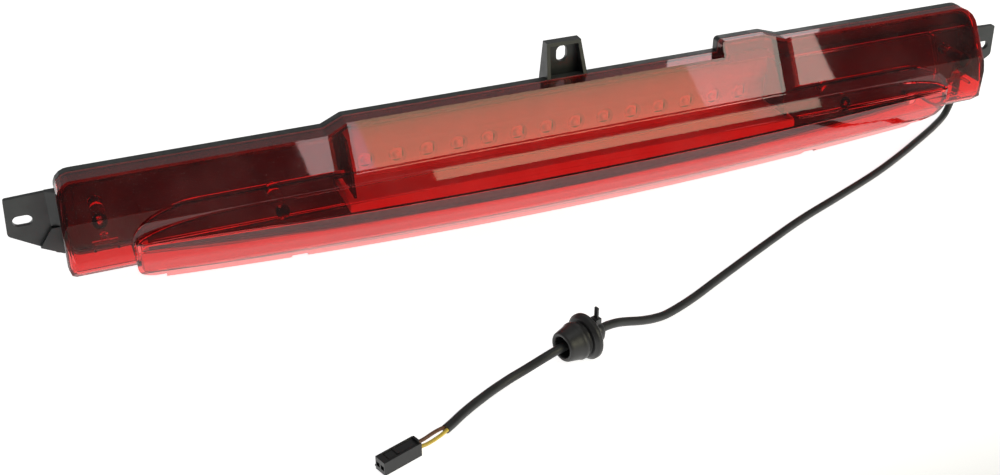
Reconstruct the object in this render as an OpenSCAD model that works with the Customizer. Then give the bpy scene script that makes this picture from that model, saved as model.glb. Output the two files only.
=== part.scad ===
// High-mounted third brake light with its lead, grommet and two-way connector.
// Millimetres. +X runs along the lamp to the right as seen from behind the vehicle,
// the lens looks towards -Y and +Z is up. The lamp stands on z = 0.

/* [Lens] */
// left end of the lens at its foot, measured from the middle
lens_left = 307; // [250:1:340]
// right end of the lens at its foot
lens_right = 303.5; // [250:1:340]
// lens and ridge wall thickness
lens_wall = 2.5; // [1.8:0.1:3.5]
// height of the top edge on the left wing
left_top = 83; // [78:0.5:88]
// height of the top edge over the centre section
mid_top = 88.5; // [84:0.5:92]
// height of the raised block at the right of the centre section
block_top = 97; // [93:0.5:102]
// height of the top edge on the right wing
right_top = 92.6; // [88:0.2:96]
// height of the underside of the two end caps
cap_bottom = 29; // [24:0.5:36]
// half length of the ridge that runs along the lens
ridge_half = 272; // [240:1:280]
// radius of the bowed lower edge
bow_r = 2500; // [1800:10:5000]
// radius of the flatter bow of the chin above that edge
chin_r = 4460; // [2500:10:8000]
// how far the lit centre face stands proud of the wings
face_raise = 1.5; // [0.5:0.1:3]

/* [Housing] */
// plane where lens and housing are welded together
joint_y = 4.5; // [3:0.5:6]
// rear face of the housing rim, which is also the front face of the end tabs
rim_back = 9.5; // [8:0.5:12]
// rear face of the lamp chamber
back_y = 28; // [22:0.5:34]
// wall thickness of the housing
case_wall = 2.5; // [1.8:0.1:3.5]
// left end of the chamber behind the rim, measured from the middle
chamber_left = 290; // [260:1:294]
// right end of the chamber, shorter to leave room for the lead
chamber_right = 276; // [250:1:280]
// underside of the chamber
chamber_low = 35; // [34:0.5:38]
// top of the chamber
chamber_high = 72; // [66:0.5:76]

/* [Mounting] */
// distance between the two end slots, centre to centre
slot_pitch = 650; // [600:1:700]
// height of the end slots
slot_z = 55; // [50:0.5:60]
// overall length of each end slot
slot_len = 10.7; // [8:0.1:14]
// width of each end slot
slot_w = 6.5; // [5:0.1:8]
// thickness of the end tabs
tab_t = 3; // [2:0.1:4]
// width of the upright oval hole in the top tab
oval_w = 7.2; // [6:0.1:9]
// height of the upright oval hole in the top tab
oval_h = 10.4; // [8:0.1:12]
// height of the oval hole centre
oval_z = 100; // [96:0.5:104]

/* [Light source] */
// number of light emitting diodes
led_count = 14; // [8:1:20]
// spacing of the diodes
led_pitch = 19.8; // [15:0.1:22]
// height of the diode row
led_z = 52.3; // [48:0.1:56]
// mouth diameter of each reflector cup
cup_d = 12.5; // [10:0.5:14]

/* [Lead] */
// outside diameter of the lead jacket
cord_d = 5; // [4:0.1:6]
// outside diameter of the two single wires
wire_d = 2; // [1.4:0.1:2.4]
// flange diameter of the body grommet
grommet_d = 26; // [20:0.5:32]
// connector length
plug_l = 22.5; // [18:0.5:30]
// connector width
plug_w = 7.4; // [6:0.1:10]
// connector height
plug_h = 7.8; // [6:0.1:10]

/* [Hidden] */
$fn = 48;
eps = 0.01;
slope = 0.591;
face_foot_y = -20.9;
face_foot_z = 63.5;
tilt = atan(slope);
seam = 0.8;
lens_back = joint_y - seam;
box_in = 143;
box_out = 155;
step_x = 104;
rim_end = lens_right - 2.1;
boss_spots = [[-286, 61], [-188, 49.4], [188, 49.4], [286, 61]];
board_spots = [[-128, 65.5], [-44, 65.5], [44, 65.5], [128, 65.5]];
board_y = 15.2;
board_t = 1.6;
panel_y = 5.2;
recess_y = 11.4;
shelf_z = 65;
tray_x = 143.4;
leg_x = 120;
gland_y = 19;
gland_z = 44;

grommet_at = [-58, -151, 13];
grommet_turn = 196.4;
plug_at = [-166.3, -191.2, 0];
plug_turn = 199.5;
wire_gap = 1.75;
wire_z = 3.85;

// points on the axes of the grommet and of the two connector cavities
function grommet_pt(x) = grommet_at + x * [cos(grommet_turn), sin(grommet_turn), 0];
function plug_pt(x, y) =
    plug_at + [x * cos(plug_turn) - y * sin(plug_turn), x * sin(plug_turn) + y * cos(plug_turn), wire_z];

// centre line of the jacket from inside the chamber to its cut end near the connector
cord_route = [
    [270, gland_y, gland_z], [276, gland_y, gland_z], [282, gland_y, gland_z], [289.5, 19, 44],
    [296.8, 19, 44], [304.5, 19, 42.6], [311.4, 19, 37.9], [315.9, 19, 31.2], [317.5, 19, 23.3],
    [316.2, 18.2, 15.6], [312.3, 15.8, 8.7], [306.5, 12.2, 4.1], [299.5, 7.8, 2.6],
    [290, 1.8, 2.6], [280, -4.2, 2.6], [262, -14.2, 2.6], [238, -27.2, 2.6], [207, -42.5, 2.6],
    [168, -58.9, 2.6], [127, -75.6, 2.6], [85, -95.6, 2.6], [46, -115, 2.6], [20, -128, 2.6],
    [1, -136, 3], [-9, -139, 4.2], [-19, -141.2, 6.6], [-28, -143, 9.6], [-35.5, -144.7, 11.9],
    grommet_pt(-16), grommet_pt(-11), grommet_pt(-3), grommet_pt(4), grommet_pt(10),
    [-75, -155.7, 12.6], [-82, -156.8, 11], [-89, -157.2, 8.4],
    [-96, -157.6, 5.8], [-103, -158.6, 4], [-110, -160.8, 3], [-117, -163.9, 2.7],
    [-124, -167.6, 2.6], [-131, -171.6, 2.6], [-138, -176, 2.6], [-144, -180.4, 2.8],
    [-149, -183.8, 3]];
yellow_route = [
    [-148.7, -185, 3], [-152.5, -187.3, 3.2], [-157, -189.8, 3.5], [-161.5, -191.8, 3.8],
    plug_pt(-1.5, wire_gap), plug_pt(1.2, wire_gap), plug_pt(4, wire_gap)];
brown_route = [
    [-149.9, -183.1, 3], [-153, -184.4, 3.9], [-156.4, -185.7, 4.3], [-161.5, -187.8, 4],
    plug_pt(-1.5, -wire_gap), plug_pt(1.2, -wire_gap), plug_pt(4, -wire_gap)];

housing();
lens();
weld_bead();
reflector();
top_shroud();
wing_panels();
led_board();
leds();
resistors();
diode();
board_screws();
lens_screws();
foam_gasket();
vent_patch();
inner_leads();
cord_gland();
cord_jacket();
grommet();
cable_tie();
wire_yellow();
wire_brown();
plug_shell();
plug_latch();
contacts();

// ---- plane helpers -------------------------------------------------------------------------

function unit2(v) = v / norm(v);
// left-hand normal of the edge from a to b
function edge_n(a, b) = let (d = unit2(b - a)) [-d[1], d[0]];
// corner i of a counter-clockwise outline moved inwards by t on both of its edges
function inset_pt(p, i, t) =
    let (n = len(p), n1 = edge_n(p[(i + n - 1) % n], p[i]), n2 = edge_n(p[i], p[(i + 1) % n]))
    p[i] + (n1 + n2) * t / (1 + n1 * n2);
function inset(p, t) = [for (i = [0:len(p) - 1]) inset_pt(p, i, t)];
// corner with a fillet of radius r made of five chords
function corner(a, b, c, r) =
    let (u = unit2(a - b), v = unit2(c - b), half = acos(u * v) / 2)
    let (reach = r / tan(half), m = b + unit2(u + v) * r / sin(half))
    let (p0 = b + u * reach, p1 = b + v * reach)
    [for (k = [0:5]) let (q = (p0 - m) * (5 - k) / 5 + (p1 - m) * k / 5) m + unit2(q) * r];
function round_all(p, r) = [
    for (i = [0:len(p) - 1])
        let (n = len(p))
            each (r[i] > 0.05 ? corner(p[(i + n - 1) % n], p[i], p[(i + 1) % n], r[i]) : [p[i]])];

// prism along Y from a profile drawn in X and Z
module front_prism(y0, y1) {
    translate([0, y1, 0])
        rotate([90, 0, 0])
            linear_extrude(y1 - y0) children();
}

// prism along X from a profile drawn in Y and Z
module side_prism(x0, x1) {
    translate([x0, 0, 0])
        rotate([90, 0, 90])
            linear_extrude(x1 - x0) children();
}

// sweep of a profile in Y and Z around the far centre of the bowed chin
module bow_sweep(points) {
    translate([0, 0, chin_r])
        rotate([0, 90, 0])
            rotate([-90, 0, 0])
                rotate([0, 0, -4])
                    rotate_extrude(angle = 8, $fn = 180)
                        polygon([for (p = points) [chin_r - p[1], p[0]]]);
}

// everything above the bowed lower edge raised by z, in X and Z
module above_bow(z, half) {
    intersection() {
        translate([0, bow_r]) circle(r = bow_r - z, $fn = 360);
        translate([-half, -5]) square([2 * half, 60]);
    }
}

// ---- outlines ------------------------------------------------------------------------------

// front outline of the lens, counter-clockwise in X and Z
top_line = [
    [-lens_left, cap_bottom], [lens_right, cap_bottom], [lens_right - 4, right_top], [150, right_top],
    [136, block_top], [step_x, block_top], [step_x, mid_top], [-box_in, mid_top],
    [-box_out, left_top], [1.5 - lens_left, left_top]];
top_round = [9, 13, 12, 0, 4, 2.5, 0, 4, 0, 9];
function lens_outline(t) = round_all(inset(top_line, t), [for (r = top_round) max(0, r - t)]);

// quarter of an ellipse from angle a to angle b
function oval(cx, cz, rx, rz, a, b) =
    [for (k = [0:8]) let (q = a + (b - a) * k / 8) [cx + rx * cos(q), cz + rz * sin(q)]];
function both_sides(half) =
    concat(half, [for (i = [len(half) - 1:-1:0]) [-half[i][0], half[i][1]]]);

// front outline of the ridge: its tips are rounded below and drawn out above
function ridge_outline(t) = both_sides(concat(
    [[255 - t, -6], [255 - t, 17.5 + t]],
    oval(259, 31, ridge_half - 259 - t, 13.5 - t, -90, 0),
    oval(232, 45, ridge_half - 232 - t, 20.6 - t, 0, 90)));
// front outline of the raised lower half of the ridge, which starts nearer the middle
function nose_outline(t) = both_sides(concat(
    [[255 - t, -6], [255 - t, 17.5 + t]],
    oval(259, 31, ridge_half - 260 - t, 13.5 - t, -90, 0),
    oval(206, 45, ridge_half - 207 - t, 12.2 - t, 0, 90)));
// outline of the ridge seen from above, in X and Y
function ridge_plan(t) = round_all(
    inset([[-ridge_half, -29.3], [ridge_half, -29.3], [ridge_half, 12], [-ridge_half, 12]], t),
    [9 - t, 9 - t, 0, 0]);

// side profile of the wings and end caps; back is where the profile is closed off
function wing_line(back) = [
    [back, cap_bottom], [back, 104], [-19.6 + (104 - 62.6) * slope, 104], [-19.6, 62.6],
    [-19.6 - (62.6 - cap_bottom) * 0.2, cap_bottom]];
function wing_profile(back) = round_all(wing_line(back), [0, 0, 0, 0, 10]);
// the same profile moved inwards by t for the cavity and the shroud
function wing_inner(t) = round_all(inset(wing_line(joint_y + 8), t), [0, 0, 0, 0, 10 - t]);
// outline of the wings in the plane across their sloped face, x along the lamp and y into it
function slope_plan(t) = round_all(
    inset([[-lens_left, 1.57], [-156, 1.57], [-156, -1], [156, -1], [156, 1.57], [lens_right, 1.57],
        [lens_right, 60], [-lens_left, 60]], t),
    [5 - t, 0, 0, 0, 0, 5 - t, 0, 0]);
// outline of the wings seen from above
function wing_plan(t) = round_all(
    inset([[-lens_left, -24.4], [lens_right, -24.4], [lens_right, 12], [-lens_left, 12]], t),
    [7 - t, 7 - t, 0, 0]);
// upper band of the ridge
ridge_profile = [[-8, 38], [-23.4, 40], [-22.9, 57.6], [-20.9, 63.8], [-18.6, 65.8], [-8, 60]];
// nose of the ridge, straight along the lamp
nose_profile = [[-20, 40], [-28.2, 42.4], [-25.5, 51], [-22.9, 57.6], [-20, 57.6]];
// lower, bowed part of the ridge
chin_profile = round_all(
    [[lens_back, 5], [-8.2, 5], [-18.4, 15], [-25.6, 27], [-29.2, 38.8], [-26, 49], [lens_back, 49]],
    [0, 0, 25, 22, 0.8, 0, 0]);
// wall that carries the chin on down to the free lower edge
lip_profile = [[1, -4], [4, -4], [-14.6, 15], [-18, 15], [-8.2, 5]];

module rim_shape(t) {
    polygon(lens_outline(t));
    translate([0, t]) above_bow(9, ridge_half - 8 - t);
}

// ---- lens ----------------------------------------------------------------------------------

module face_block(t) {
    // raised lit face with sloped sides, cut off along the top outline
    translate([0, face_foot_y, face_foot_z])
        rotate([-tilt, 0, 0])
            translate([0, 0, -1])
                linear_extrude(46)
                    polygon([
                        [-box_out + t, 9], [-box_out + t, face_raise + t], [-box_in + t, t],
                        [box_in - t, t], [box_out - t, face_raise + t], [box_out - t, 9]]);
}

module ridge_outer() {
    intersection() {
        union() {
            intersection() {
                front_prism(-40, lens_back) polygon(ridge_outline(0));
                side_prism(-ridge_half, ridge_half) polygon(ridge_profile);
            }
            intersection() {
                front_prism(-40, lens_back) polygon(nose_outline(0));
                side_prism(-ridge_half, ridge_half) polygon(nose_profile);
            }
            intersection() {
                front_prism(-40, lens_back) above_bow(9, ridge_half);
                front_prism(-40, lens_back) polygon(nose_outline(0));
                bow_sweep(chin_profile);
                translate([-ridge_half, -40, 0]) cube([2 * ridge_half, 60, 47.8]);
            }
            intersection() {
                front_prism(-40, lens_back) above_bow(0, ridge_half);
                front_prism(-40, lens_back) polygon(nose_outline(0));
                bow_sweep(lip_profile);
            }
        }
        translate([0, 0, -5]) linear_extrude(90) polygon(ridge_plan(0));
    }
}

module ridge_cavity(t) {
    intersection() {
        union() {
            intersection() {
                front_prism(-40, joint_y + 8) polygon(ridge_outline(t));
                side_prism(-ridge_half, ridge_half)
                    polygon([[8, 38], [-21, 41], [-20.4, 57], [-18.8, 62.4], [8, 62.4]]);
            }
            intersection() {
                front_prism(-40, joint_y + 8) polygon(nose_outline(t));
                side_prism(-ridge_half, ridge_half)
                    polygon([[8, 38], [-25.6, 42.6], [-23.1, 50.5], [-20.5, 57], [8, 57]]);
            }
            intersection() {
                front_prism(-40, joint_y + 8) above_bow(9 + 1.4, ridge_half - t);
                front_prism(-40, joint_y + 8) polygon(nose_outline(t));
                bow_sweep(round_all(
                    [[joint_y + 6, 5], [-4.8, 5], [-16.2, 16.4], [-23.2, 27.9], [-26.5, 39], [-23.4, 49],
                        [joint_y + 6, 49]], [0, 0, 22, 19, 0, 0, 0]));
                translate([-ridge_half, -40, 0]) cube([2 * ridge_half, 60, 46]);
            }
        }
        translate([0, 0, -5]) linear_extrude(90) polygon(ridge_plan(t));
    }
}

// space between the rounded ends of the two caps
module rounded_ends(t) {
    intersection() {
        translate([0, 0, -5]) linear_extrude(130) polygon(wing_plan(t));
        translate([0, face_foot_y, face_foot_z])
            rotate([-tilt, 0, 0])
                translate([0, 0, -90]) linear_extrude(180) polygon(slope_plan(t));
    }
}

module lens_outer() {
    intersection() {
        front_prism(-40, lens_back) polygon(lens_outline(0));
        union() {
            side_prism(-320, 320) polygon(wing_profile(joint_y + 2));
            face_block(0);
        }
        rounded_ends(0);
    }
    ridge_outer();
}

module lens_cavity() {
    t = lens_wall;
    intersection() {
        front_prism(-40, joint_y + 8) polygon(lens_outline(t));
        union() {
            side_prism(-320, 320) polygon(wing_inner(t));
            face_block(t);
        }
        rounded_ends(t);
    }
    ridge_cavity(t);
}

module lens_ribs() {
    // long ribs moulded on the inside: one near the top edge, one behind the nose of the ridge
    translate([157, -8.6, 79.2]) cube([138, 5, 1]);
    for (s = [-1, 1])
        translate([s > 0 ? 152 : -262, -26, 45.4]) cube([110, 3.4, 1.1]);
    // short upright ribs near the ends
    for (s = [-1, 1])
        side_prism(s * 265 - 0.6, s * 265 + 0.6)
            polygon([[-20, 50], [-15, 50], [-15, 58], [-2.6, 78.4], [-10.6, 78.4]]);
}

module lens_bosses() {
    for (p = boss_spots)
        translate([p[0], 7, p[1]]) rotate([90, 0, 0]) cylinder(d = 8, h = 40);
}

module end_hooks() {
    for (s = [-1, 1])
        translate([s * 285, 0, 0]) {
            translate([-7, -14, 44.6]) cube([14, 3, 1.4]);
            translate([-2.2, -14, 44.6]) cube([1.2, 3, 6.4]);
            translate([1, -14, 44.6]) cube([1.2, 3, 6.4]);
            translate([-2.2, -14, 49.8]) cube([4.4, 3, 1.2]);
            translate([-7, -22.4, 44.6]) cube([1.4, 10.4, 1.4]);
            translate([5.6, -22.4, 44.6]) cube([1.4, 10.4, 1.4]);
        }
}

module lens() {
    color([0.75, 0.03, 0.03, 0.45])
        difference() {
            union() {
                difference() {
                    lens_outer();
                    lens_cavity();
                }
                intersection() {
                    lens_outer();
                    union() {
                        lens_ribs();
                        end_hooks();
                        lens_bosses();
                    }
                }
                for (p = boss_spots)
                    translate([p[0], 7, p[1]]) rotate([90, 0, 0]) cylinder(d = 8, h = 7);
            }
            for (p = boss_spots)
                translate([p[0], 8, p[1]]) rotate([90, 0, 0]) cylinder(d = 3.2, h = 8.5);
            // two drain notches in the lower lip
            for (s = [-1, 1])
                translate([s * 177 - 5, -20, -1]) cube([10, 24, 10.6]);
        }
}

module weld_bead() {
    color([0.62, 0.6, 0.6])
        difference() {
            front_prism(lens_back, joint_y) rim_shape(0.3);
            front_prism(lens_back - 1, joint_y + 1) rim_shape(lens_wall);
            translate([rim_end, 0, 0]) cube([20, 20, 120]);
        }
}

// ---- housing -------------------------------------------------------------------------------

module end_tab(s) {
    // flat tab with its horizontal slot; the left one has a sloped shoulder up to the rim
    mirror([s > 0 ? 0 : 1, 0, 0])
        difference() {
            union() {
                front_prism(rim_back, rim_back + tab_t)
                    polygon(round_all(
                        [[296, 32], [309, 31.4], [319, 37.4], [334.4, 47], [333, 69.3], [296, 70.6]],
                        [0, 0, 6, 3, 1.5, 0]));
                if (s < 0) {
                    translate([0, 0, 31.4])
                        linear_extrude(38.9)
                            polygon([[300, joint_y + 0.6], [303, joint_y + 0.6], [311, rim_back],
                                [311, rim_back + tab_t], [300, rim_back + tab_t]]);
                    front_prism(rim_back - 3, rim_back + 1)
                        polygon([[303, 31], [306, 31], [318.6, 37.6], [311, 48.6], [303, 48.6]]);
                }
            }
            translate([slot_pitch / 2, 0, slot_z])
                for (k = [-1, 1])
                    translate([k * (slot_len - slot_w) / 2, rim_back + tab_t + 1, 0])
                        rotate([90, 0, 0]) cylinder(d = slot_w, h = tab_t + 9);
            translate([slot_pitch / 2 - (slot_len - slot_w) / 2, rim_back - 6, slot_z - slot_w / 2])
                cube([slot_len - slot_w, tab_t + 8, slot_w]);
        }
}

module top_tab() {
    // box bracket, open to the front, with an upright oval hole in its back plate
    difference() {
        intersection() {
            front_prism(joint_y, 17)
                polygon([[-13.6, 68], [13.6, 68], [13.6, 86], [11.4, 109], [-11.4, 109], [-13.6, 86]]);
            side_prism(-20, 20)
                polygon([[joint_y, 80], [9, 70], [17, 70], [17, 109], [11, 109], [joint_y, 88.5]]);
        }
        front_prism(0, 14)
            polygon([[-11.2, 60], [11.2, 60], [11.2, 86], [9.4, 106.8], [-9.4, 106.8], [-11.2, 86]]);
        for (k = [-1, 1])
            translate([0, 20, oval_z + k * (oval_h - oval_w) / 2])
                rotate([90, 0, 0]) cylinder(d = oval_w, h = 10);
        translate([-oval_w / 2, 10, oval_z - (oval_h - oval_w) / 2])
            cube([oval_w, 10, oval_h - oval_w]);
    }
}

module leg(s) {
    side_prism(s * leg_x - 7, s * leg_x + 7)
        polygon([[20, 0], [23.5, 0], [27, chamber_low + 1], [13, chamber_low + 1]]);
}

module housing() {
    deep = back_y - rim_back + 1;
    color([0.05, 0.05, 0.055])
        difference() {
            union() {
                difference() {
                    front_prism(joint_y, rim_back) rim_shape(0);
                    translate([rim_end, 0, 0]) cube([20, 20, 120]);
                }
                translate([-chamber_left, rim_back - 1, chamber_low])
                    cube([chamber_left + chamber_right, deep, chamber_high - chamber_low]);
                for (s = [-1, 1]) {
                    end_tab(s);
                    leg(s);
                }
                top_tab();
                // post for the screw that sits outside the chamber
                translate([286, back_y, 61]) rotate([90, 0, 0]) cylinder(d = 11, h = deep);
                // stiffening ribs on the roof of the chamber
                for (x = [-240, -160, -80, 80, 160, 240])
                    translate([x - 1, 14, chamber_high - 1]) cube([2, 12, 3.5]);
            }
            front_prism(joint_y - 1, rim_back - case_wall) rim_shape(4);
            difference() {
                translate([-chamber_left + case_wall, joint_y, chamber_low + case_wall])
                    cube([chamber_left + chamber_right - 2 * case_wall, back_y - joint_y - case_wall,
                        chamber_high - chamber_low - 2 * case_wall]);
                for (p = boss_spots)
                    translate([p[0], back_y, p[1]]) rotate([90, 0, 0]) cylinder(d = 11, h = back_y - 7);
                for (p = board_spots)
                    translate([p[0], back_y, p[1]])
                        rotate([90, 0, 0]) cylinder(d = 7, h = back_y - board_y - board_t);
            }
            for (p = boss_spots) {
                translate([p[0], back_y + 1, p[1]]) rotate([90, 0, 0]) cylinder(d = 3.8, h = 30);
                translate([p[0], back_y + 1, p[1]]) rotate([90, 0, 0]) cylinder(d = 7.8, h = 4);
            }
            for (p = board_spots)
                translate([p[0], 25, p[1]]) rotate([90, 0, 0]) cylinder(d = 2.3, h = 20);
            // hole for the lead in the right-hand end of the chamber
            translate([chamber_right - 6, gland_y, gland_z]) rotate([0, 90, 0]) cylinder(d = 10, h = 10);
            // breather hole
            translate([-60, back_y + 1, 48]) rotate([90, 0, 0]) cylinder(d = 4, h = 6);
        }
}

// ---- light source --------------------------------------------------------------------------

function led_x(i) = (i - (led_count - 1) / 2) * led_pitch;

module reflector() {
    back = recess_y + 1.6;
    color([0.82, 0.82, 0.83])
        difference() {
            union() {
                // upper back wall, cut to the outline of the lens
                front_prism(panel_y, panel_y + 1.8)
                    polygon([[-tray_x, shelf_z], [tray_x, shelf_z], [tray_x, 83.2], [-141, 83.2],
                        [-tray_x, 81.8]]);
                // step back to the recess that holds the diodes
                translate([-tray_x, panel_y, shelf_z]) cube([2 * tray_x, back - panel_y, 1.2]);
                translate([-149, recess_y, 38.6]) cube([298, 1.6, shelf_z - 38.6 + 1.2]);
                // lower tray and the upright rim at its front edge, bowed like the lens
                intersection() {
                    union() {
                        bow_sweep([[back, 38.2], [-24, 38.2], [-24, 39.8], [back, 39.8]]);
                        bow_sweep([[-24.9, 38.2], [-23.4, 49], [-22.2, 49], [-23.5, 38.2]]);
                    }
                    front_prism(-40, 60)
                        polygon(round_all(
                            [[-149, 30], [149, 30], [149, 46], [-149, 46]], [0, 0, 2.5, 2.5]));
                }
                // end walls of the tray
                for (s = [-1, 1])
                    side_prism(s > 0 ? 147.4 : -149, s > 0 ? 149 : -147.4)
                        polygon([[back, 40.6], [-23.9, 40.6], [-23.2, 46], [back, 46]]);
                translate([-141, -4.6, 81.8]) cube([282, panel_y + 6.4, 1.4]);
            }
            for (i = [0:led_count - 1])
                translate([led_x(i), back + 0.2, led_z]) rotate([90, 0, 0])
                    cylinder(d1 = 8.6, d2 = cup_d, h = 2);
        }
}

// black shell tucked under the top wall of the lens and down the inside of both end walls
module top_shroud() {
    color([0.05, 0.05, 0.055])
        intersection() {
            difference() {
                front_prism(-30, joint_y - 0.2) polygon(lens_outline(2.9));
                front_prism(-31, joint_y) polygon(lens_outline(4.1));
            }
            union() {
                side_prism(-320, 320) polygon(wing_inner(2.9));
                face_block(2.9);
            }
            rounded_ends(2.9);
            translate([-320, -30, 45]) cube([640, 60, 60]);
        }
}

module wing_panels() {
    // dark inner trims behind the two wings, each with an upright wall beside the lit section
    color([0.07, 0.07, 0.075])
        for (s = [-1, 1])
            mirror([s > 0 ? 0 : 1, 0, 0])
                difference() {
                    union() {
                        front_prism(5, 7)
                            intersection() {
                                polygon(lens_outline(4.6));
                                translate([150.2, 30]) square([146.8, 47.8]);
                            }
                        translate([tray_x + 0.3, 5, 47]) cube([8, 2, 30.8]);
                        translate([156, 1, 76.4]) cube([141, 5, 1.4]);
                        side_prism(tray_x + 0.3, tray_x + 1.9)
                            polygon([[6, 47], [-20.6, 47], [-17.4, 56.6], [-16.6, 61.4], [-7.6, 77.8],
                                [6, 77.8]]);
                    }
                    for (x = [188, 286])
                        translate([x, 8, x > 200 ? 61 : 49.4])
                            rotate([90, 0, 0]) cylinder(d = 8.6, h = 12);
                }
}

module led_board() {
    color([0.05, 0.22, 0.1])
        difference() {
            translate([-142, board_y, 38.4]) cube([284, board_t, 30.4]);
            for (p = board_spots)
                translate([p[0], board_y + 3, p[1]]) rotate([90, 0, 0]) cylinder(d = 2.6, h = 5);
        }
}

module leds() {
    color([0.85, 0.2, 0.15])
        for (i = [0:led_count - 1])
            translate([led_x(i), board_y, led_z]) rotate([90, 0, 0]) {
                translate([-3.8, -3.8, 0]) cube([7.6, 7.6, 1.6]);
                cylinder(d = 4.6, h = 2.6);
                translate([0, 0, 2.6]) sphere(d = 4.6);
            }
}

module resistors() {
    color([0.12, 0.12, 0.13])
        for (i = [0:6])
            translate([led_x(2 * i) + led_pitch / 2 - 3, board_y + board_t, 55]) cube([6, 1.2, 3.2]);
}

module diode() {
    color([0.08, 0.08, 0.08])
        translate([-4, board_y + board_t, 43]) cube([7, 2.4, 4.6]);
}

module board_screws() {
    color([0.7, 0.7, 0.68])
        for (p = board_spots)
            translate([p[0], board_y, p[1]]) rotate([90, 0, 0]) {
                cylinder(d = 5, h = 1.6);
                translate([0, 0, -8]) cylinder(d = 2.2, h = 8.5);
            }
}

module lens_screws() {
    color([0.7, 0.7, 0.68])
        for (p = boss_spots)
            translate([p[0], back_y - 3, p[1]]) rotate([90, 0, 0]) {
                translate([0, 0, -2.6]) cylinder(d = 7, h = 2.6);
                translate([0, 0, -eps]) cylinder(d = 3, h = 24.5);
            }
}

// ---- rear fittings -------------------------------------------------------------------------

module foam_gasket() {
    // strip around the chamber on the rear face of the rim, open where the top tab stands
    color([0.16, 0.16, 0.17])
        difference() {
            front_prism(rim_back, rim_back + tab_t)
                polygon(round_all([[-295, 30.5], [295, 30.5], [295, 79], [-295, 79]], [5, 5, 5, 5]));
            front_prism(rim_back - 1, rim_back + tab_t + 1)
                polygon(round_all([[-290.4, 34.6], [291.6, 34.6], [291.6, 74.6], [-290.4, 74.6]],
                    [1, 1, 1, 1]));
            translate([-14, 0, 70]) cube([28, 30, 20]);
        }
}

module vent_patch() {
    color([0.85, 0.85, 0.85])
        translate([-60, back_y, 48]) rotate([-90, 0, 0]) cylinder(d = 11, h = 0.4);
}

module inner_leads() {
    color([0.75, 0.6, 0.1]) {
        translate([137, 17.9, 42.6]) rotate([0, 90, 0]) cylinder(d = 1.6, h = 133);
        translate([137, board_y + board_t, 41.8]) cube([3, 2.3, 1.6]);
    }
    color([0.3, 0.16, 0.1]) {
        translate([129, 19.9, 42.6]) rotate([0, 90, 0]) cylinder(d = 1.6, h = 141);
        translate([129, board_y + board_t, 41.8]) cube([3, 4.3, 1.6]);
    }
}

module cord_gland() {
    color([0.06, 0.06, 0.06])
        translate([chamber_right, gland_y, gland_z])
            rotate([0, 90, 0])
                difference() {
                    union() {
                        translate([0, 0, -case_wall - 2]) cylinder(d = 12.4, h = 2);
                        translate([0, 0, -case_wall - 1]) cylinder(d = 9.7, h = case_wall + 2);
                        cylinder(d = 14, h = 2);
                        translate([0, 0, 1.9]) cylinder(d1 = 10, d2 = 7.4, h = 7);
                    }
                    translate([0, 0, -10]) cylinder(d = cord_d + 0.1, h = 30);
                }
}

// ---- lead ----------------------------------------------------------------------------------

function hermite(p0, p1, p2, p3, t) =
    0.5 * ((2 * p1) + (p2 - p0) * t + (2 * p0 - 5 * p1 + 4 * p2 - p3) * t * t
        + (3 * p1 - p0 - 3 * p2 + p3) * t * t * t);
function smooth_route(p, k) =
    let (n = len(p))
    [for (i = [0:n - 2]) for (j = [0:k - 1])
        hermite(p[max(0, i - 1)], p[i], p[i + 1], p[min(n - 1, i + 2)], j / k), p[n - 1]];
function path_dir(p, i) =
    let (n = len(p), d = p[min(n - 1, i + 1)] - p[max(0, i - 1)]) d / norm(d);
function ring_at(c, d, r, sides) =
    let (w = abs(d[2]) > 0.9 ? [1, 0, 0] : [0, 0, 1])
    let (u = cross(d, w) / norm(cross(d, w)), v = cross(u, d))
    [for (k = [0:sides - 1]) c + r * (cos(360 * k / sides) * u + sin(360 * k / sides) * v)];

module tube_along(route, d, k, sides) {
    path = smooth_route(route, k);
    n = len(path);
    points = [for (i = [0:n - 1]) each ring_at(path[i], path_dir(path, i), d / 2, sides)];
    faces = [
        [for (q = [0:sides - 1]) q],
        for (i = [0:n - 2]) for (q = [0:sides - 1])
            let (a = i * sides, b = a + sides, r = (q + 1) % sides) [a + q, b + q, b + r, a + r],
        [for (q = [sides - 1:-1:0]) (n - 1) * sides + q]];
    polyhedron(points = points, faces = faces, convexity = 8);
}

module cord_jacket() {
    color([0.05, 0.05, 0.05])
        tube_along(cord_route, cord_d, 2, 10);
}

module wire_yellow() {
    color([0.85, 0.68, 0.12])
        tube_along(yellow_route, wire_d, 2, 8);
}

module wire_brown() {
    color([0.3, 0.16, 0.1])
        tube_along(brown_route, wire_d, 2, 8);
}

module grommet() {
    color([0.09, 0.09, 0.09])
        translate(grommet_at)
            rotate([0, 0, grommet_turn])
                rotate([0, 90, 0])
                    rotate_extrude()
                        polygon([
                            [cord_d / 2 + 0.15, -11], [4.2, -11], [5, -10], [5, -4], [7, -2.5],
                            [grommet_d / 2 - 1, -2.5], [grommet_d / 2, -1.5], [grommet_d / 2, 0.6],
                            [grommet_d / 2 - 2, 2.6], [9, 2.6], [9, 5], [10.6, 5.4], [10.6, 7.4],
                            [10, 8.6], [8.4, 15.6], [7.8, 16.4], [6.6, 16.4], [6, 15.8],
                            [5.6, 9], [cord_d / 2 + 0.15, 8]]);
}

module cable_tie() {
    color([0.07, 0.07, 0.07])
        translate(grommet_at)
            rotate([0, 0, grommet_turn])
                rotate([0, 90, 0]) {
                    difference() {
                        translate([0, 0, -9]) cylinder(r = 6.1, h = 3);
                        translate([0, 0, -10]) cylinder(r = 5, h = 5);
                    }
                    translate([-9, -2.4, -9.4]) cube([3.4, 4.8, 3.8]);
                    translate([-15.5, -1.3, -8.2]) cube([7, 2.6, 1.1]);
                }
}

// ---- connector -----------------------------------------------------------------------------

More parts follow.
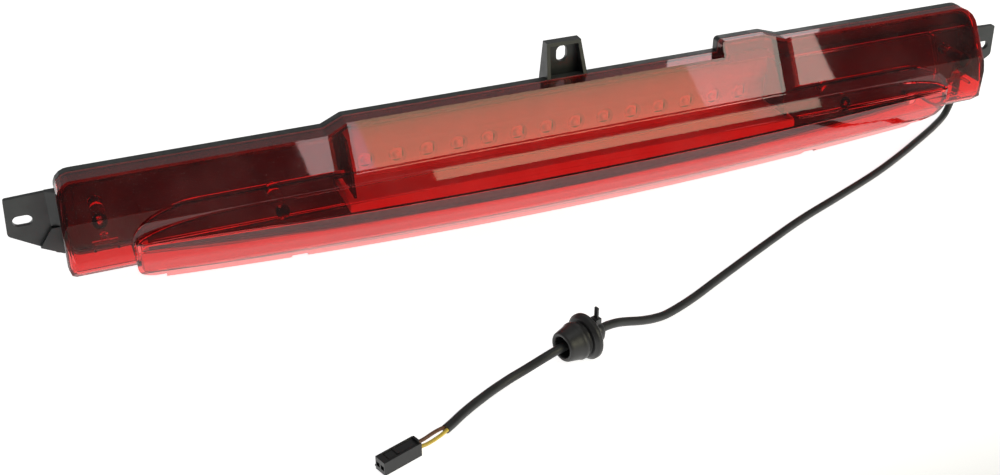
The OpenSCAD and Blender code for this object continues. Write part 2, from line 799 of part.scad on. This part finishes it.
module on_plug() {
    translate(plug_at)
        rotate([0, 0, plug_turn]) children();
}

module plug_shell() {
    color([0.045, 0.045, 0.05])
        on_plug()
            difference() {
                union() {
                    translate([0, -plug_w / 2, 0]) cube([plug_l, plug_w, 6.6]);
                    // cheeks beside the latch and guard at the front
                    for (s = [-1, 1])
                        translate([0, s * (plug_w / 2 - 0.55) - 0.55, 6.5])
                            cube([plug_l, 1.1, plug_h - 6.5]);
                    translate([plug_l - 3.4, -plug_w / 2, 6.5]) cube([3.4, plug_w, plug_h - 6.5]);
                    // keying rib low on the left side
                    translate([3, -plug_w / 2 - 0.7, 1.2]) cube([plug_l - 3, 0.8, 1.2]);
                }
                for (s = [-1, 1]) {
                    translate([-1, s * wire_gap - 1.25, wire_z - 1.25]) cube([plug_l + 2, 2.5, 2.5]);
                }
                translate([-1, -plug_w / 2 + 1.1, 5.8]) cube([plug_l - 2.4, plug_w - 2.2, 3]);
                translate([-1, -3, 2.1]) cube([4, 6, 3.6]);
            }
}

module plug_latch() {
    color([0.06, 0.06, 0.065])
        on_plug() {
            translate([1.2, -2.2, 6.7]) cube([17.4, 4.4, 0.9]);
            translate([0.2, -2.2, 6.7]) cube([1.2, 4.4, 2.3]);
            translate([12, -2.2, 7.5]) cube([1.6, 4.4, 0.6]);
            translate([18, -2.2, 6.3]) cube([0.6, 4.4, 1]);
        }
}

module contacts() {
    color([0.75, 0.72, 0.62])
        on_plug()
            for (s = [-1, 1])
                difference() {
                    translate([4, s * wire_gap - 1, wire_z - 1.25]) cube([plug_l - 6, 2, 2.5]);
                    translate([10, s * wire_gap - 0.6, wire_z - 0.6]) cube([plug_l, 1.2, 1.2]);
                }
}
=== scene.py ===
# A third brake light on a pale studio floor. Metres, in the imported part's own frame:
# +X along the lamp, -Y the way the lens faces, +Z up.
from math import cos, pi, radians, sin

import bpy
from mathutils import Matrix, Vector


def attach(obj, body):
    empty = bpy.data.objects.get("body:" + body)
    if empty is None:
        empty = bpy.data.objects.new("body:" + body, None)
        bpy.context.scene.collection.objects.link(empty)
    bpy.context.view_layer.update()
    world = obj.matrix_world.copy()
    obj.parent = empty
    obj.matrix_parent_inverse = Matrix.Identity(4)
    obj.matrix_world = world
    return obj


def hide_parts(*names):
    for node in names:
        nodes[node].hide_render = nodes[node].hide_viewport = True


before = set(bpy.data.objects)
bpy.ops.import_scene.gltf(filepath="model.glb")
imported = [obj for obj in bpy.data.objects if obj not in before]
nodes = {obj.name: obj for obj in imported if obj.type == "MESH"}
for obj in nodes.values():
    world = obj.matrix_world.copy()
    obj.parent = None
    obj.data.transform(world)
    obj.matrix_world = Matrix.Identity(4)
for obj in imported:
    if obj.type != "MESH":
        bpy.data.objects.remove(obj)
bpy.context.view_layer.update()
scene = bpy.context.scene

MM = 0.001
CORD_D = 5.0 * MM
WIRE_D = 2.0 * MM
WELD_WITHIN = 0.01 * MM
CURVE_STEPS = 6

CAMERA_AT = (-0.30902, -0.65514, 0.42046)
CAMERA_YAW = radians(21.852)
CAMERA_PITCH = radians(31.614)
CAMERA_LENS = 46.67
SENSOR_WIDTH = 36.0


# ---- camera ---------------------------------------------------------------------------------

def make_camera():
    """Viewing angle of 22 degrees to the left of straight on, looking down."""
    data = bpy.data.cameras.new("camera")
    data.sensor_fit = "HORIZONTAL"
    data.sensor_width = SENSOR_WIDTH
    data.lens = CAMERA_LENS
    data.clip_start = 0.05
    data.clip_end = 30.0
    cam = bpy.data.objects.new("camera", data)
    scene.collection.objects.link(cam)
    cam.location = CAMERA_AT
    level = cos(CAMERA_PITCH)
    look = Vector((sin(CAMERA_YAW) * level, cos(CAMERA_YAW) * level, -sin(CAMERA_PITCH)))
    cam.rotation_mode = "QUATERNION"
    cam.rotation_quaternion = look.to_track_quat("-Z", "Y")
    scene.camera = cam


make_camera()


# ---- node material helpers ------------------------------------------------------------------

class Shader:
    """A small wrapper that keeps node set-up on one line each."""

    def __init__(self, name):
        self.mat = bpy.data.materials.new(name)
        self.mat.use_nodes = True
        self.tree = self.mat.node_tree
        self.tree.nodes.clear()
        self.out = self.tree.nodes.new("ShaderNodeOutputMaterial")

    def add(self, kind, **values):
        node = self.tree.nodes.new("ShaderNode" + kind)
        for key, value in values.items():
            setattr(node, key, value)
        return node

    def link(self, a, b):
        self.tree.links.new(a, b)

    def coords(self, scale=(1, 1, 1)):
        mapping = self.add("Mapping")
        mapping.inputs["Scale"].default_value = scale
        self.link(self.add("TexCoord").outputs["Object"], mapping.inputs["Vector"])
        return mapping.outputs["Vector"]

    def noise(self, scale, detail=4.0, rough=0.55, stretch=(1, 1, 1)):
        node = self.add("TexNoise")
        node.inputs["Scale"].default_value = scale
        node.inputs["Detail"].default_value = detail
        node.inputs["Roughness"].default_value = rough
        self.link(self.coords(stretch), node.inputs["Vector"])
        return node.outputs["Fac"]

    def span(self, value, low, high, start=0.3, end=0.7):
        node = self.add("MapRange")
        node.inputs["From Min"].default_value = start
        node.inputs["From Max"].default_value = end
        node.inputs["To Min"].default_value = low
        node.inputs["To Max"].default_value = high
        self.link(value, node.inputs["Value"])
        return node.outputs["Result"]

    def math(self, operation, a, b):
        node = self.add("Math", operation=operation)
        for socket, value in zip(node.inputs, (a, b)):
            if isinstance(value, (int, float)):
                socket.default_value = value
            else:
                self.link(value, socket)
        return node.outputs["Value"]

    def blend(self, factor, a, b):
        node = self.add("Mix", data_type="RGBA")
        if isinstance(factor, (int, float)):
            node.inputs[0].default_value = factor
        else:
            self.link(factor, node.inputs[0])
        for socket, value in ((node.inputs[6], a), (node.inputs[7], b)):
            if isinstance(value, tuple):
                socket.default_value = (*value, 1.0)
            else:
                self.link(value, socket)
        return node.outputs[2]

    def bump(self, height, distance, strength=1.0):
        node = self.add("Bump")
        node.inputs["Distance"].default_value = distance
        node.inputs["Strength"].default_value = strength
        self.link(height, node.inputs["Height"])
        return node.outputs["Normal"]

    def principled(self, **values):
        node = self.add("BsdfPrincipled")
        for key, value in values.items():
            node.inputs[key.replace("_", " ")].default_value = value
        self.link(node.outputs[0], self.out.inputs["Surface"])
        return node


def plastic(name, dark, light, rough=(0.3, 0.42), grain=900, bump=0.00002):
    """Moulded plastic or rubber: mottled colour, uneven gloss and fine texture."""
    s = Shader(name)
    p = s.principled()
    mottle = s.span(s.noise(45, 5), 0, 1)
    s.link(s.blend(mottle, dark, light), p.inputs["Base Color"])
    s.link(s.span(s.noise(110, 6, 0.65), *rough), p.inputs["Roughness"])
    s.link(s.bump(s.noise(grain, 3), bump), p.inputs["Normal"])
    return s.mat


def metal(name, dark, light, rough=(0.2, 0.4)):
    """Plated metal with a brushed, slightly tarnished surface."""
    s = Shader(name)
    p = s.principled(Metallic=1.0)
    s.link(s.blend(s.span(s.noise(300, 5), 0, 1), dark, light), p.inputs["Base Color"])
    s.link(s.span(s.noise(900, 4, 0.6, (1, 12, 1)), *rough), p.inputs["Roughness"])
    s.link(s.bump(s.noise(1400, 2, 0.5, (1, 9, 1)), 0.00001), p.inputs["Normal"])
    return s.mat


def clear_red(name, tint_low, tint_high, shade, rough=0.012):
    """Tinted acrylic: it bends and mirrors light, and lets the lamps' light through in its own tint."""
    s = Shader(name)
    p = s.principled(Transmission_Weight=1.0, IOR=1.49)
    s.link(s.blend(s.span(s.noise(18, 3), 0, 1), tint_low, tint_high), p.inputs["Base Color"])
    s.link(s.span(s.noise(240, 5, 0.65), rough, rough * 3), p.inputs["Roughness"])
    s.link(s.bump(s.noise(45, 2), 0.000012), p.inputs["Normal"])
    # settled dust: a faint film that gathers into specks
    dust = s.add("BsdfDiffuse")
    dust.inputs["Color"].default_value = (0.62, 0.5, 0.5, 1.0)
    film = s.span(s.noise(26, 6, 0.7), 0.0, 0.03, 0.42, 0.72)
    specks = s.span(s.noise(2100, 2, 0.5), 0.0, 0.4, 0.68, 0.75)
    dusty = s.add("MixShader")
    s.link(s.math("MAXIMUM", film, specks), dusty.inputs[0])
    s.link(p.outputs[0], dusty.inputs[1])
    s.link(dust.outputs[0], dusty.inputs[2])
    see = s.add("BsdfTransparent")
    see.inputs["Color"].default_value = (*shade, 1.0)
    mix = s.add("MixShader")
    s.link(s.add("LightPath").outputs["Is Shadow Ray"], mix.inputs[0])
    s.link(dusty.outputs[0], mix.inputs[1])
    s.link(see.outputs[0], mix.inputs[2])
    s.link(mix.outputs[0], s.out.inputs["Surface"])
    return s.mat


def satin_silver(name):
    """Metallised plastic in a soft finish, painted darker in two steps towards the top as painted shade.
    """
    s = Shader(name)
    p = s.principled(Metallic=0.0)
    p.inputs["Specular IOR Level"].default_value = 0.6
    place = s.add("SeparateXYZ")
    s.link(s.add("TexCoord").outputs["Object"], place.inputs[0])
    # painted shade: above Z 62-84 mm the base colour darkens to dark grey; the noise makes the step
    # uneven
    painted_top_shade = s.span(place.outputs["Z"], 0, 1, 0.062, 0.084)
    painted_top_shade = s.math("ADD", painted_top_shade, s.span(s.noise(30, 5), -0.08, 0.08))
    bright = s.blend(s.span(s.noise(60, 4), 0, 1), (0.74, 0.73, 0.72), (0.82, 0.81, 0.8))
    # painted shade: a first step from light to mid grey above Z 47-56 mm
    lower = s.blend(s.span(place.outputs["Z"], 0, 1, 0.047, 0.056), bright, (0.56, 0.56, 0.55))
    s.link(s.blend(painted_top_shade, lower, (0.2, 0.2, 0.2)), p.inputs["Base Color"])
    s.link(s.span(s.noise(120, 5), 0.28, 0.42), p.inputs["Roughness"])
    s.link(s.bump(s.noise(500, 3), 0.00001), p.inputs["Normal"])
    return s.mat


MATERIALS = {
    "housing": plastic("black_plastic", (0.018, 0.021, 0.022), (0.036, 0.041, 0.042), (0.3, 0.48)),
    "wing_panels": plastic("trim_plastic", (0.003, 0.003, 0.004), (0.02, 0.016, 0.022), (0.3, 0.45)),
    "lens": clear_red("red_acrylic", (0.86, 0.085, 0.08), (0.82, 0.07, 0.07), (0.92, 0.3, 0.3)),
    "top_shroud": plastic("shroud_plastic", (0.01, 0.012, 0.012), (0.02, 0.024, 0.023), (0.2, 0.35)),
    # painted light: the seam is coloured light pink so the line where lens meets housing reads lit,
    # standing in for light carried through the lens wall
    "weld_bead": plastic("seam_painted_glow", (0.5, 0.36, 0.36), (0.68, 0.55, 0.54), (0.15, 0.3)),
    "reflector": satin_silver("satin_silver"),
    "led_board": plastic("solder_mask", (0.06, 0.12, 0.07), (0.1, 0.2, 0.1), (0.25, 0.4)),
    # painted light: the diodes' colour is raised to a pale warm pink to lift them out of the shade in
    # their cups
    "leds": plastic("diode_epoxy", (0.85, 0.6, 0.56), (0.95, 0.78, 0.74), (0.08, 0.15)),
    "resistors": plastic("component_black", (0.02, 0.02, 0.02), (0.06, 0.06, 0.06)),
    "diode": plastic("component_grey", (0.03, 0.03, 0.03), (0.07, 0.07, 0.07)),
    "board_screws": metal("zinc", (0.45, 0.45, 0.42), (0.7, 0.7, 0.68)),
    "lens_screws": metal("zinc_dark", (0.4, 0.4, 0.38), (0.62, 0.62, 0.6)),
    "foam_gasket": plastic("foam", (0.02, 0.02, 0.022), (0.07, 0.07, 0.075), (0.85, 0.98), 2200, 0.0002),
    "vent_patch": plastic("membrane", (0.6, 0.6, 0.6), (0.75, 0.75, 0.74), (0.6, 0.8), 3000, 0.00008),
    "inner_leads": plastic("lead_insulation", (0.6, 0.42, 0.04), (0.75, 0.55, 0.08)),
    "cord_gland": plastic("gland_rubber", (0.02, 0.02, 0.02), (0.045, 0.045, 0.045), (0.5, 0.7)),
    "grommet": plastic("grommet_rubber", (0.014, 0.014, 0.015), (0.032, 0.032, 0.033), (0.35, 0.5)),
    "cable_tie": plastic("tie_nylon", (0.02, 0.02, 0.022), (0.04, 0.04, 0.042), (0.25, 0.35)),
    "plug_shell": plastic("connector_nylon", (0.006, 0.006, 0.007), (0.016, 0.016, 0.018), (0.28, 0.4)),
    "plug_latch": plastic("latch_nylon", (0.007, 0.007, 0.008), (0.018, 0.018, 0.02), (0.28, 0.4)),
    "contacts": metal("tin", (0.6, 0.58, 0.52), (0.8, 0.78, 0.72)),
}


def dress(name):
    mesh = nodes[name].data
    mesh.materials.clear()
    mesh.materials.append(MATERIALS[name])


for node_name in MATERIALS:
    dress(node_name)


def weld(name):
    """Join doubled points, such as the ones at the tip of each diode's dome."""
    modifier = nodes[name].modifiers.new("weld", "WELD")
    modifier.merge_threshold = WELD_WITHIN


def soften(name, width):
    """Round the sharp edges of a moulded piece, as a real tool leaves them."""
    obj = nodes[name]
    weld(name)
    bevel = obj.modifiers.new("bevel", "BEVEL")
    bevel.width = width
    bevel.segments = 2
    bevel.limit_method = "ANGLE"
    bevel.angle_limit = radians(35)
    bevel.harden_normals = True


for node_name, edge in (("housing", 0.0004), ("plug_shell", 0.00025), ("plug_latch", 0.0001),
                        ("cable_tie", 0.0002), ("grommet", 0.0004)):
    soften(node_name, edge)
weld("leds")


# ---- lead -----------------------------------------------------------------------------------

GLAND = Vector((0.276, 0.019, 0.044))
GROMMET = Vector((-0.058, -0.151, 0.013))
GROMMET_TURN = radians(196.4)
PLUG = Vector((-0.1663, -0.1912, 0.0))
PLUG_TURN = radians(199.5)
WIRE_GAP = 1.75 * MM
WIRE_Z = 3.85 * MM


def grommet_pt(x):
    return GROMMET + Vector((cos(GROMMET_TURN), sin(GROMMET_TURN), 0)) * x


def plug_pt(x, y, z=WIRE_Z):
    along = Vector((cos(PLUG_TURN), sin(PLUG_TURN), 0))
    across = Vector((-sin(PLUG_TURN), cos(PLUG_TURN), 0))
    return PLUG + along * x + across * y + Vector((0, 0, z))


CORD_ROUTE = [
    GLAND, (0.282, 0.019, 0.044), (0.2895, 0.019, 0.044), (0.2968, 0.019, 0.044),
    (0.3045, 0.019, 0.0426), (0.3114, 0.019, 0.0379), (0.3159, 0.019, 0.0312),
    (0.3175, 0.019, 0.0233), (0.3162, 0.0182, 0.0156), (0.3123, 0.0158, 0.0087),
    (0.3065, 0.0122, 0.0041), (0.2995, 0.0078, 0.0026), (0.290, 0.0018, 0.0026),
    (0.280, -0.0042, 0.0026), (0.262, -0.0142, 0.0026), (0.238, -0.0272, 0.0026),
    (0.207, -0.0425, 0.0026), (0.168, -0.0589, 0.0026), (0.127, -0.0756, 0.0026),
    (0.085, -0.0956, 0.0026), (0.046, -0.115, 0.0026), (0.020, -0.128, 0.0026),
    (0.001, -0.136, 0.003), (-0.009, -0.139, 0.0042), (-0.019, -0.1412, 0.0066),
    (-0.028, -0.143, 0.0096), (-0.0355, -0.1447, 0.0119), grommet_pt(-0.016),
    grommet_pt(-0.011), grommet_pt(-0.003), grommet_pt(0.004), grommet_pt(0.010),
    (-0.075, -0.1557, 0.0126), (-0.082, -0.1568, 0.011), (-0.089, -0.1572, 0.0084),
    (-0.096, -0.1576, 0.0058), (-0.103, -0.1586, 0.004), (-0.110, -0.1608, 0.003),
    (-0.117, -0.1639, 0.0027), (-0.124, -0.1676, 0.0026), (-0.131, -0.1716, 0.0026),
    (-0.138, -0.176, 0.0026), (-0.144, -0.1804, 0.0028), (-0.149, -0.1838, 0.003)]
YELLOW_ROUTE = [
    (-0.1478, -0.1842, 0.0031), (-0.152, -0.187, 0.0032), (-0.157, -0.1898, 0.0035),
    (-0.1615, -0.1918, 0.0038), plug_pt(-0.0015, WIRE_GAP), plug_pt(0.0012, WIRE_GAP),
    plug_pt(0.004, WIRE_GAP)]
BROWN_ROUTE = [
    (-0.1478, -0.182, 0.0031), (-0.152, -0.1838, 0.004), (-0.1564, -0.1857, 0.0043),
    (-0.1615, -0.1878, 0.004), plug_pt(-0.0015, -WIRE_GAP), plug_pt(0.0012, -WIRE_GAP),
    plug_pt(0.004, -WIRE_GAP)]


def smooth_points(route, steps):
    """A smooth line through the route's points, with this many steps between neighbours."""
    p = [Vector(q) for q in route]
    last = len(p) - 1
    out = []
    for i in range(last):
        a, b, c, d = p[max(0, i - 1)], p[i], p[i + 1], p[min(last, i + 2)]
        for k in range(steps):
            t = k / steps
            out.append(0.5 * (2 * b + (c - a) * t + (2 * a - 5 * b + 4 * c - d) * t * t
                              + (3 * b - a - 3 * c + d) * t ** 3))
    return out + [p[last]]


def tube(name, route, diameter, material):
    """A curve of one open spline with a round section, and its length."""
    data = bpy.data.curves.new(name, "CURVE")
    data.dimensions = "3D"
    data.bevel_depth = diameter / 2
    data.bevel_resolution = 6
    data.use_fill_caps = True
    points = smooth_points(route, CURVE_STEPS)
    spline = data.splines.new("POLY")
    spline.points.add(len(points) - 1)
    for point, place in zip(spline.points, points):
        point.co = (*place, 1.0)
    spline.use_smooth = True
    data.materials.append(material)
    obj = bpy.data.objects.new(name, data)
    scene.collection.objects.link(obj)
    length = sum((b - a).length for a, b in zip(points, points[1:]))
    return obj, length


jacket_mat = plastic("cord_pvc", (0.016, 0.017, 0.018), (0.032, 0.033, 0.034), (0.36, 0.5), 1500, 0.00001)
jacket, jacket_length = tube("lead", CORD_ROUTE, CORD_D, jacket_mat)
yellow, _ = tube("lead_yellow", YELLOW_ROUTE, WIRE_D,
                 plastic("wire_yellow_pvc", (0.62, 0.42, 0.05), (0.8, 0.6, 0.1), (0.25, 0.4)))
brown, _ = tube("lead_brown", BROWN_ROUTE, WIRE_D,
                plastic("wire_brown_pvc", (0.12, 0.045, 0.025), (0.2, 0.09, 0.05), (0.25, 0.4)))
for piece, node_name in ((jacket, "cord_jacket"), (yellow, "wire_yellow"), (brown, "wire_brown")):
    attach(piece, "lamp")
    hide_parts(node_name)


# ---- floor and light --------------------------------------------------------------------------

FLOOR_GLOW = 0.84
GLOW_FROM_TO = (-0.42, -0.24)


def make_floor():
    """A pale sheet lit from within as well as from above, as a light table is. The glow fades out
    in front of the lamp, so that the lens mirrors a darker foreground."""
    mesh = bpy.data.meshes.new("floor")
    size = 6.0
    mesh.from_pydata([(-size, -size, 0), (size, -size, 0), (size, size, 0), (-size, size, 0)], [],
                     [(0, 1, 2, 3)])
    floor = bpy.data.objects.new("floor", mesh)
    scene.collection.objects.link(floor)
    s = Shader("floor_paper")
    p = s.principled(Roughness=0.9)
    p.inputs["Specular IOR Level"].default_value = 0.1
    paper = s.blend(s.span(s.noise(3), 0, 1), (0.86, 0.86, 0.86), (0.9, 0.9, 0.9))
    s.link(paper, p.inputs["Base Color"])
    p.inputs["Emission Color"].default_value = (1, 1, 1, 1)
    place = s.add("SeparateXYZ")
    s.link(s.add("TexCoord").outputs["Object"], place.inputs[0])
    glow = s.span(place.outputs["Y"], 0.0, FLOOR_GLOW, *GLOW_FROM_TO)
    s.link(glow, p.inputs["Emission Strength"])
    mesh.materials.append(s.mat)


SOFTBOX_AZ, SOFTBOX_EL, SOFTBOX_FAR = 27, 24, 2.0
AIM = Vector((0, -0.02, 0.06))


def area_light(name, azimuth, elevation, distance, size, radiance, colour=(1, 1, 1), shift=(0, 0)):
    """A rectangular lamp. azimuth is counted from straight in front of the lens towards +X,
    radiance is how bright its face looks, and shift moves it within its own plane."""
    data = bpy.data.lights.new(name, "AREA")
    data.shape = "RECTANGLE"
    data.size, data.size_y = size
    data.energy = radiance * pi * size[0] * size[1]
    data.color = colour
    a, e = radians(azimuth), radians(elevation)
    away = Vector((sin(a) * cos(e), -cos(a) * cos(e), sin(e)))
    side = Vector((cos(a), sin(a), 0))
    rise = Vector((-sin(a) * sin(e), cos(a) * sin(e), cos(e)))
    obj = bpy.data.objects.new(name, data)
    obj.location = AIM + away * distance + side * shift[0] + rise * shift[1]
    obj.rotation_mode = "QUATERNION"
    obj.rotation_quaternion = (-away).to_track_quat("-Z", "Y")
    scene.collection.objects.link(obj)


def softbox(name, left, right, low, high, radiance, colour=(1, 1, 1)):
    """One panel of the big softbox in front and to the right."""
    size = (right - left, high - low)
    middle = ((left + right) / 2, (low + high) / 2)
    area_light(name, SOFTBOX_AZ, SOFTBOX_EL, SOFTBOX_FAR, size, radiance, colour, middle)


STRIP_TURN = radians(35)


def make_world():
    """A dim room in front, lighter behind the lamp and low down on the right."""
    world = bpy.data.worlds.new("studio")
    world.use_nodes = True
    tree = world.node_tree
    back = tree.nodes["Background"]

    def ramp(value, start, end, low, high):
        node = tree.nodes.new("ShaderNodeMapRange")
        node.interpolation_type = "SMOOTHSTEP"
        for key, number in (("From Min", start), ("From Max", end), ("To Min", low), ("To Max", high)):
            node.inputs[key].default_value = number
        tree.links.new(value, node.inputs["Value"])
        return node.outputs["Result"]

    def calc(operation, a, b):
        node = tree.nodes.new("ShaderNodeMath")
        node.operation = operation
        for socket, value in zip(node.inputs, (a, b)):
            if isinstance(value, (int, float)):
                socket.default_value = value
            else:
                tree.links.new(value, socket)
        return node.outputs["Value"]

    split = tree.nodes.new("ShaderNodeSeparateXYZ")
    tree.links.new(tree.nodes.new("ShaderNodeTexCoord").outputs["Generated"], split.inputs[0])
    x, y, z = split.outputs
    behind = ramp(y, -0.1, 0.8, 0.12, 0.32)
    turn = calc("ADD", calc("MULTIPLY", x, cos(STRIP_TURN)), calc("MULTIPLY", y, sin(STRIP_TURN)))
    right_low = calc("MULTIPLY", ramp(turn, 0.0, 0.1, 0, 0.9), ramp(z, 0.17, 0.32, 1, 0))
    light = calc("MAXIMUM", behind, calc("MULTIPLY", right_low, ramp(y, -0.2, 0.2, 1, 0.3)))
    tree.links.new(light, back.inputs["Strength"])
    back.inputs["Color"].default_value = (1, 1, 1, 1)
    scene.world = world


make_floor()
make_world()
softbox("softbox_left", -0.60, -0.46, -0.1, 0.62, 3.7)
softbox("softbox_middle", -0.46, 0.24, -0.50, 0.62, 3.4, (1.0, 0.95, 0.62))
softbox("softbox_right", 0.24, 0.51, -0.1, 0.62, 5.0, (1.0, 0.97, 0.84))
softbox("softbox_low", 0.24, 0.38, -0.56, -0.1, 3.6, (1.0, 0.96, 0.75))
area_light("behind", 144, 23, 2.0, (0.3, 0.5), 1.8)
area_light("overhead", 0, 85, 2.2, (1.2, 1.2), 1.1)
scene.view_settings.view_transform = "Standard"
scene.view_settings.look = "None"
